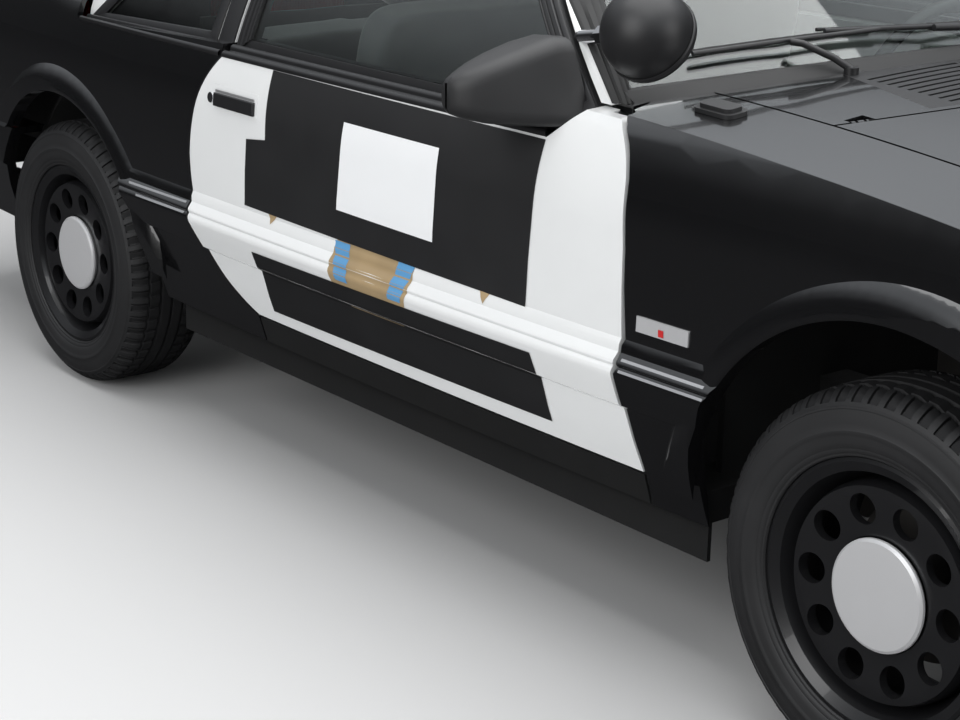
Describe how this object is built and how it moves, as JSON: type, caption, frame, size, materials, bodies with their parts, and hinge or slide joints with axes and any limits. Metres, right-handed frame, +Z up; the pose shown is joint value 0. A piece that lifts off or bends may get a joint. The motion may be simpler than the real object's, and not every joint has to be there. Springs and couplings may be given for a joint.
{
  "type": "two-door patrol car",
  "caption": "Low two-door notchback patrol car in black with white doors and roof, flared arches, opening doors, hood and trunk, steered front wheels and pillar spotlights.",
  "frame": {"origin": "on the ground under the middle of the car's length and width", "axes": "+X forwards, +Y to the car's left, +Z up"},
  "size_m": [4.5538, 1.956, 1.3228],
  "materials": {
    "white_paint": "gloss",
    "black_paint": "gloss",
    "black_trim": "satin",
    "tinted_glass": "gloss",
    "clear_lens": "gloss",
    "amber_lens": "gloss",
    "red_lens": "gloss",
    "underbody_paint": "satin",
    "cast_iron": "rough",
    "exhaust_steel": "satin",
    "dash_plastic": "matte",
    "seat_cloth": "matte",
    "tyre_rubber": "matte",
    "wheel_paint": "satin",
    "cap_metal": "brushed"
  },
  "bodies": {
    "body": {"roof": "white_paint", "fender_right": "black_paint", "fender_left": "black_paint", "quarter_panel_right": "black_paint", "quarter_panel_left": "black_paint", "cowl_panel": "black_paint", "cowl_grille": "black_trim", "windshield": "tinted_glass", "rear_window": "tinted_glass", "quarter_glass": "tinted_glass", "header_panel": "black_paint", "headlamps": "clear_lens", "marker_lamps": "amber_lens", "grille": "black_trim", "front_bumper": "black_paint", "deck_panel": "black_paint", "tail_panel": "black_paint", "tail_lamps": "red_lens", "rear_bumper": "black_paint", "floor_pan": "underbody_paint", "firewall": "underbody_paint", "control_arms": "underbody_paint", "engine_block": "cast_iron", "driveline": "cast_iron", "rear_axle": "cast_iron", "rear_tub": "underbody_paint", "fuel_tank": "underbody_paint", "exhaust": "exhaust_steel", "dashboard": "dash_plastic", "front_seats": "seat_cloth", "rear_seat": "seat_cloth", "spotlights": "black_trim", "antenna_base": "black_trim"},
    "hood": {"hood": "black_paint"},
    "trunk_lid": {"trunk_lid": "black_paint"},
    "door_right": {"door_shell_right": "white_paint", "door_frame_right": "black_trim", "door_glass_right": "tinted_glass", "mirror_right": "black_trim"},
    "knuckle_right": {"knuckle_right": "cast_iron"},
    "door_left": {"door_shell_left": "white_paint", "door_frame_left": "black_trim", "door_glass_left": "tinted_glass", "mirror_left": "black_trim"},
    "knuckle_left": {"knuckle_left": "cast_iron"},
    "wheel_front_right": {"tyre_front_right": "tyre_rubber", "wheel_front_right": "wheel_paint", "hub_cap_front_right": "cap_metal"},
    "wheel_front_left": {"tyre_front_left": "tyre_rubber", "wheel_front_left": "wheel_paint", "hub_cap_front_left": "cap_metal"},
    "wheel_rear_right": {"tyre_rear_right": "tyre_rubber", "wheel_rear_right": "wheel_paint", "hub_cap_rear_right": "cap_metal"},
    "wheel_rear_left": {"tyre_rear_left": "tyre_rubber", "wheel_rear_left": "wheel_paint", "hub_cap_rear_left": "cap_metal"},
    "steering_wheel": {"steering_wheel": "dash_plastic"}
  },
  "joints": [
    {"name": "hood_hinge", "type": "hinge", "parent": "body", "child": "hood", "pos_m": [1.048, 0, 0.9695], "axis": [0, -1, 0], "range_deg": [0, 55]},
    {"name": "trunk_hinge", "type": "hinge", "parent": "body", "child": "trunk_lid", "pos_m": [-1.318, 0, 1], "axis": [0, 1, 0], "range_deg": [0, 65]},
    {"name": "door_right_hinge", "type": "hinge", "parent": "body", "child": "door_right", "pos_m": [0.746, -0.79, 0.6], "axis": [0, 0, 1], "range_deg": [0, 62]},
    {"name": "door_left_hinge", "type": "hinge", "parent": "body", "child": "door_left", "pos_m": [0.746, 0.79, 0.6], "axis": [0, 0, -1], "range_deg": [0, 62]},
    {"name": "steer_left", "type": "hinge", "parent": "body", "child": "knuckle_left", "pos_m": [1.347, 0.62, 0.322], "axis": [0, 0, 1], "range_deg": [-33, 33]},
    {"name": "steer_right", "type": "hinge", "parent": "body", "child": "knuckle_right", "pos_m": [1.347, -0.62, 0.322], "axis": [0, 0, 1], "range_deg": [-33, 33]},
    {"name": "steering_wheel_turn", "type": "hinge", "parent": "body", "child": "steering_wheel", "pos_m": [0.405, 0.37, 0.8605], "axis": [-0.9397, 0, 0.3419], "range_deg": [-500, 500]},
    {"name": "wheel_front_right_spin", "type": "hinge", "parent": "knuckle_right", "child": "wheel_front_right", "pos_m": [1.347, -0.706, 0.322], "axis": [0, 1, 0], "continuous": true},
    {"name": "wheel_front_left_spin", "type": "hinge", "parent": "knuckle_left", "child": "wheel_front_left", "pos_m": [1.347, 0.706, 0.322], "axis": [0, 1, 0], "continuous": true},
    {"name": "wheel_rear_right_spin", "type": "hinge", "parent": "body", "child": "wheel_rear_right", "pos_m": [-1.206, -0.706, 0.322], "axis": [0, 1, 0], "continuous": true},
    {"name": "wheel_rear_left_spin", "type": "hinge", "parent": "body", "child": "wheel_rear_left", "pos_m": [-1.206, 0.706, 0.322], "axis": [0, 1, 0], "continuous": true}
  ],
  "couplings": [
    {"joint": "steer_right", "follows": "steer_left", "ratio": 1},
    {"joint": "steering_wheel_turn", "follows": "steer_left", "ratio": 15}
  ]
}
